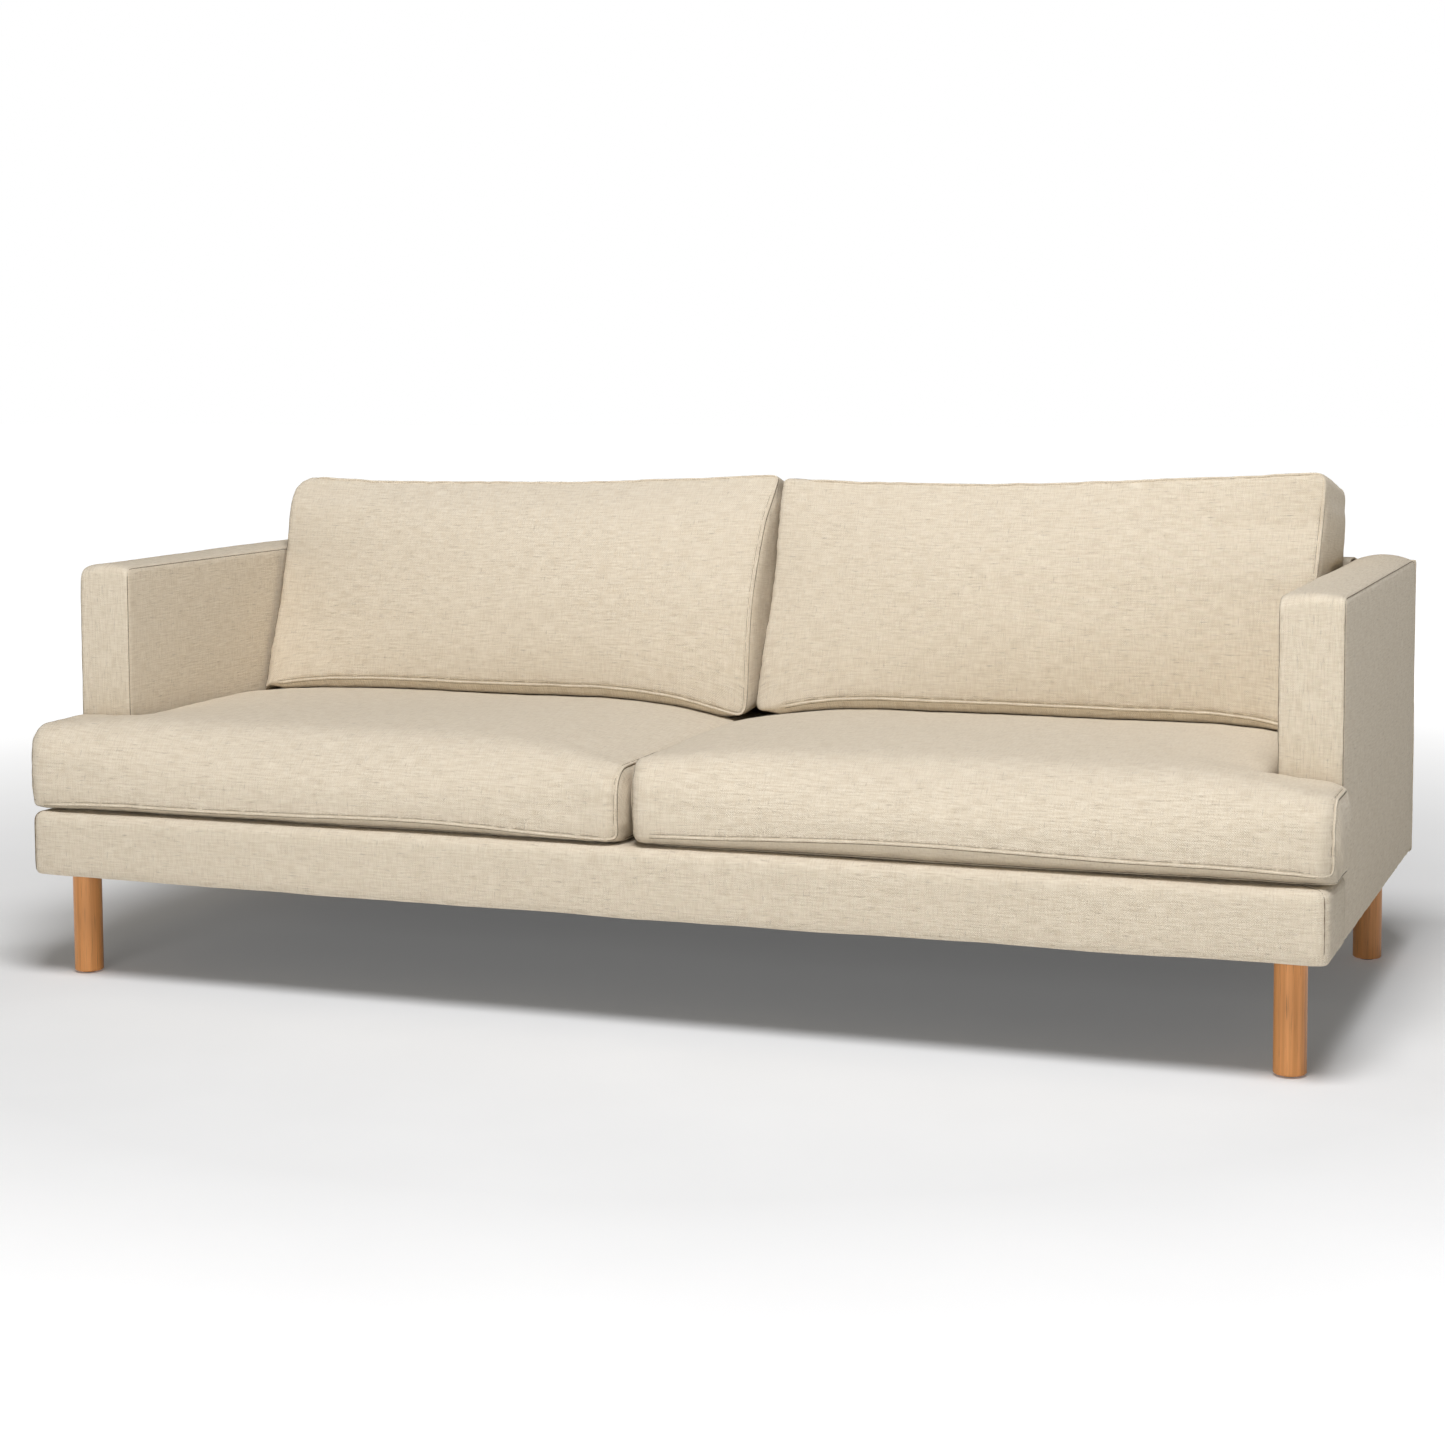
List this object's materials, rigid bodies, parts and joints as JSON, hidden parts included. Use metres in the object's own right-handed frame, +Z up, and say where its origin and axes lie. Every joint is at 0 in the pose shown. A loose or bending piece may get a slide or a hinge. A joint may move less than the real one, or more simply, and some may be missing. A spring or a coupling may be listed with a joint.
{
  "type": "sofa",
  "caption": "Low upholstered sofa with loose seat and back cushions, slim track arms, a boxed base on round wooden legs, a zigzag-spring deck and zipped cushion covers.",
  "frame": {"origin": "on the floor at the middle of the sofa: half its width and half its depth", "axes": "+X along the sofa, to the right of a person who faces it; +Y to its back; +Z up"},
  "size_m": [2.1, 0.98, 0.825],
  "materials": {
    "linen": "coarse plain weave of undyed linen yarn with grey-brown slubs",
    "foam": "open-cell polyurethane foam",
    "leg_oak": "oiled oak, satin",
    "frame_wood": "sawn softwood",
    "hardboard": "smooth-faced hardboard",
    "webbing": "elastic upholstery webbing",
    "felt": "needled felt",
    "dust_cloth": "spunbond cloth",
    "spring_steel": "drawn spring wire",
    "zinc_steel": "zinc plated",
    "zip_metal": "nickel plated",
    "zip_tape": "woven polyester tape with a nylon chain",
    "glide_plastic": "moulded polyethylene"
  },
  "bodies": {
    "frame": {"front_rail": "frame_wood", "front_inner_rail": "frame_wood", "rear_seat_rail": "frame_wood", "rear_rail": "frame_wood", "left_side_rail": "frame_wood", "right_side_rail": "frame_wood", "centre_rail": "frame_wood", "front_deck_board": "frame_wood", "corner_blocks": "frame_wood", "left_arm_front_post": "frame_wood", "left_arm_rear_post": "frame_wood", "left_arm_top_rail": "frame_wood", "left_arm_inner_board": "hardboard", "left_arm_outer_board": "hardboard", "right_arm_front_post": "frame_wood", "right_arm_rear_post": "frame_wood", "right_arm_top_rail": "frame_wood", "right_arm_inner_board": "hardboard", "right_arm_outer_board": "hardboard", "back_posts": "frame_wood", "back_top_rail": "frame_wood", "back_lower_rails": "frame_wood", "back_webbing": "webbing", "seat_springs": "spring_steel", "spring_clips": "zinc_steel", "deck_pad": "felt", "deck_cloth": "linen", "front_border_foam": "foam", "front_border_cover": "linen", "left_arm_foam": "foam", "left_arm_cover": "linen", "right_arm_foam": "foam", "right_arm_cover": "linen", "back_foam": "foam", "back_cover": "linen", "outside_back_cover": "linen", "dust_cover": "dust_cloth", "leg_front_left": "leg_oak", "leg_front_right": "leg_oak", "leg_rear_left": "leg_oak", "leg_rear_right": "leg_oak", "leg_bolts": "zinc_steel", "leg_tee_nuts": "zinc_steel", "leg_glides": "glide_plastic"},
    "left_seat_cushion": {"left_seat_core": "foam", "left_seat_cover": "linen", "left_seat_zip": "zip_tape"},
    "left_back_cushion": {"left_back_fill": "foam", "left_back_cushion_cover": "linen", "left_back_zip": "zip_tape"},
    "left_seat_slider": {"left_seat_zip_slider": "zip_metal"},
    "left_back_slider": {"left_back_zip_slider": "zip_metal"},
    "right_seat_cushion": {"right_seat_core": "foam", "right_seat_cover": "linen", "right_seat_zip": "zip_tape"},
    "right_back_cushion": {"right_back_fill": "foam", "right_back_cushion_cover": "linen", "right_back_zip": "zip_tape"},
    "right_seat_slider": {"right_seat_zip_slider": "zip_metal"},
    "right_back_slider": {"right_back_zip_slider": "zip_metal"}
  },
  "joints": [
    {"name": "left_seat_cushion_lift", "type": "slide", "parent": "frame", "child": "left_seat_cushion", "axis": [0, 0, 1], "range_m": [0, 0.4]},
    {"name": "left_back_cushion_lift", "type": "slide", "parent": "left_seat_cushion", "child": "left_back_cushion", "axis": [0, 0, 1], "range_m": [0, 0.3]},
    {"name": "left_seat_zip_slide", "type": "slide", "parent": "left_seat_cushion", "child": "left_seat_slider", "axis": [1, 0, 0], "range_m": [0, 0.61]},
    {"name": "left_back_zip_slide", "type": "slide", "parent": "left_back_cushion", "child": "left_back_slider", "axis": [1, 0, 0], "range_m": [0, 0.51]},
    {"name": "right_seat_cushion_lift", "type": "slide", "parent": "frame", "child": "right_seat_cushion", "axis": [0, 0, 1], "range_m": [0, 0.4]},
    {"name": "right_back_cushion_lift", "type": "slide", "parent": "right_seat_cushion", "child": "right_back_cushion", "axis": [0, 0, 1], "range_m": [0, 0.3]},
    {"name": "right_seat_zip_slide", "type": "slide", "parent": "right_seat_cushion", "child": "right_seat_slider", "axis": [1, 0, 0], "range_m": [0, 0.61]},
    {"name": "right_back_zip_slide", "type": "slide", "parent": "right_back_cushion", "child": "right_back_slider", "axis": [1, 0, 0], "range_m": [0, 0.51]}
  ]
}
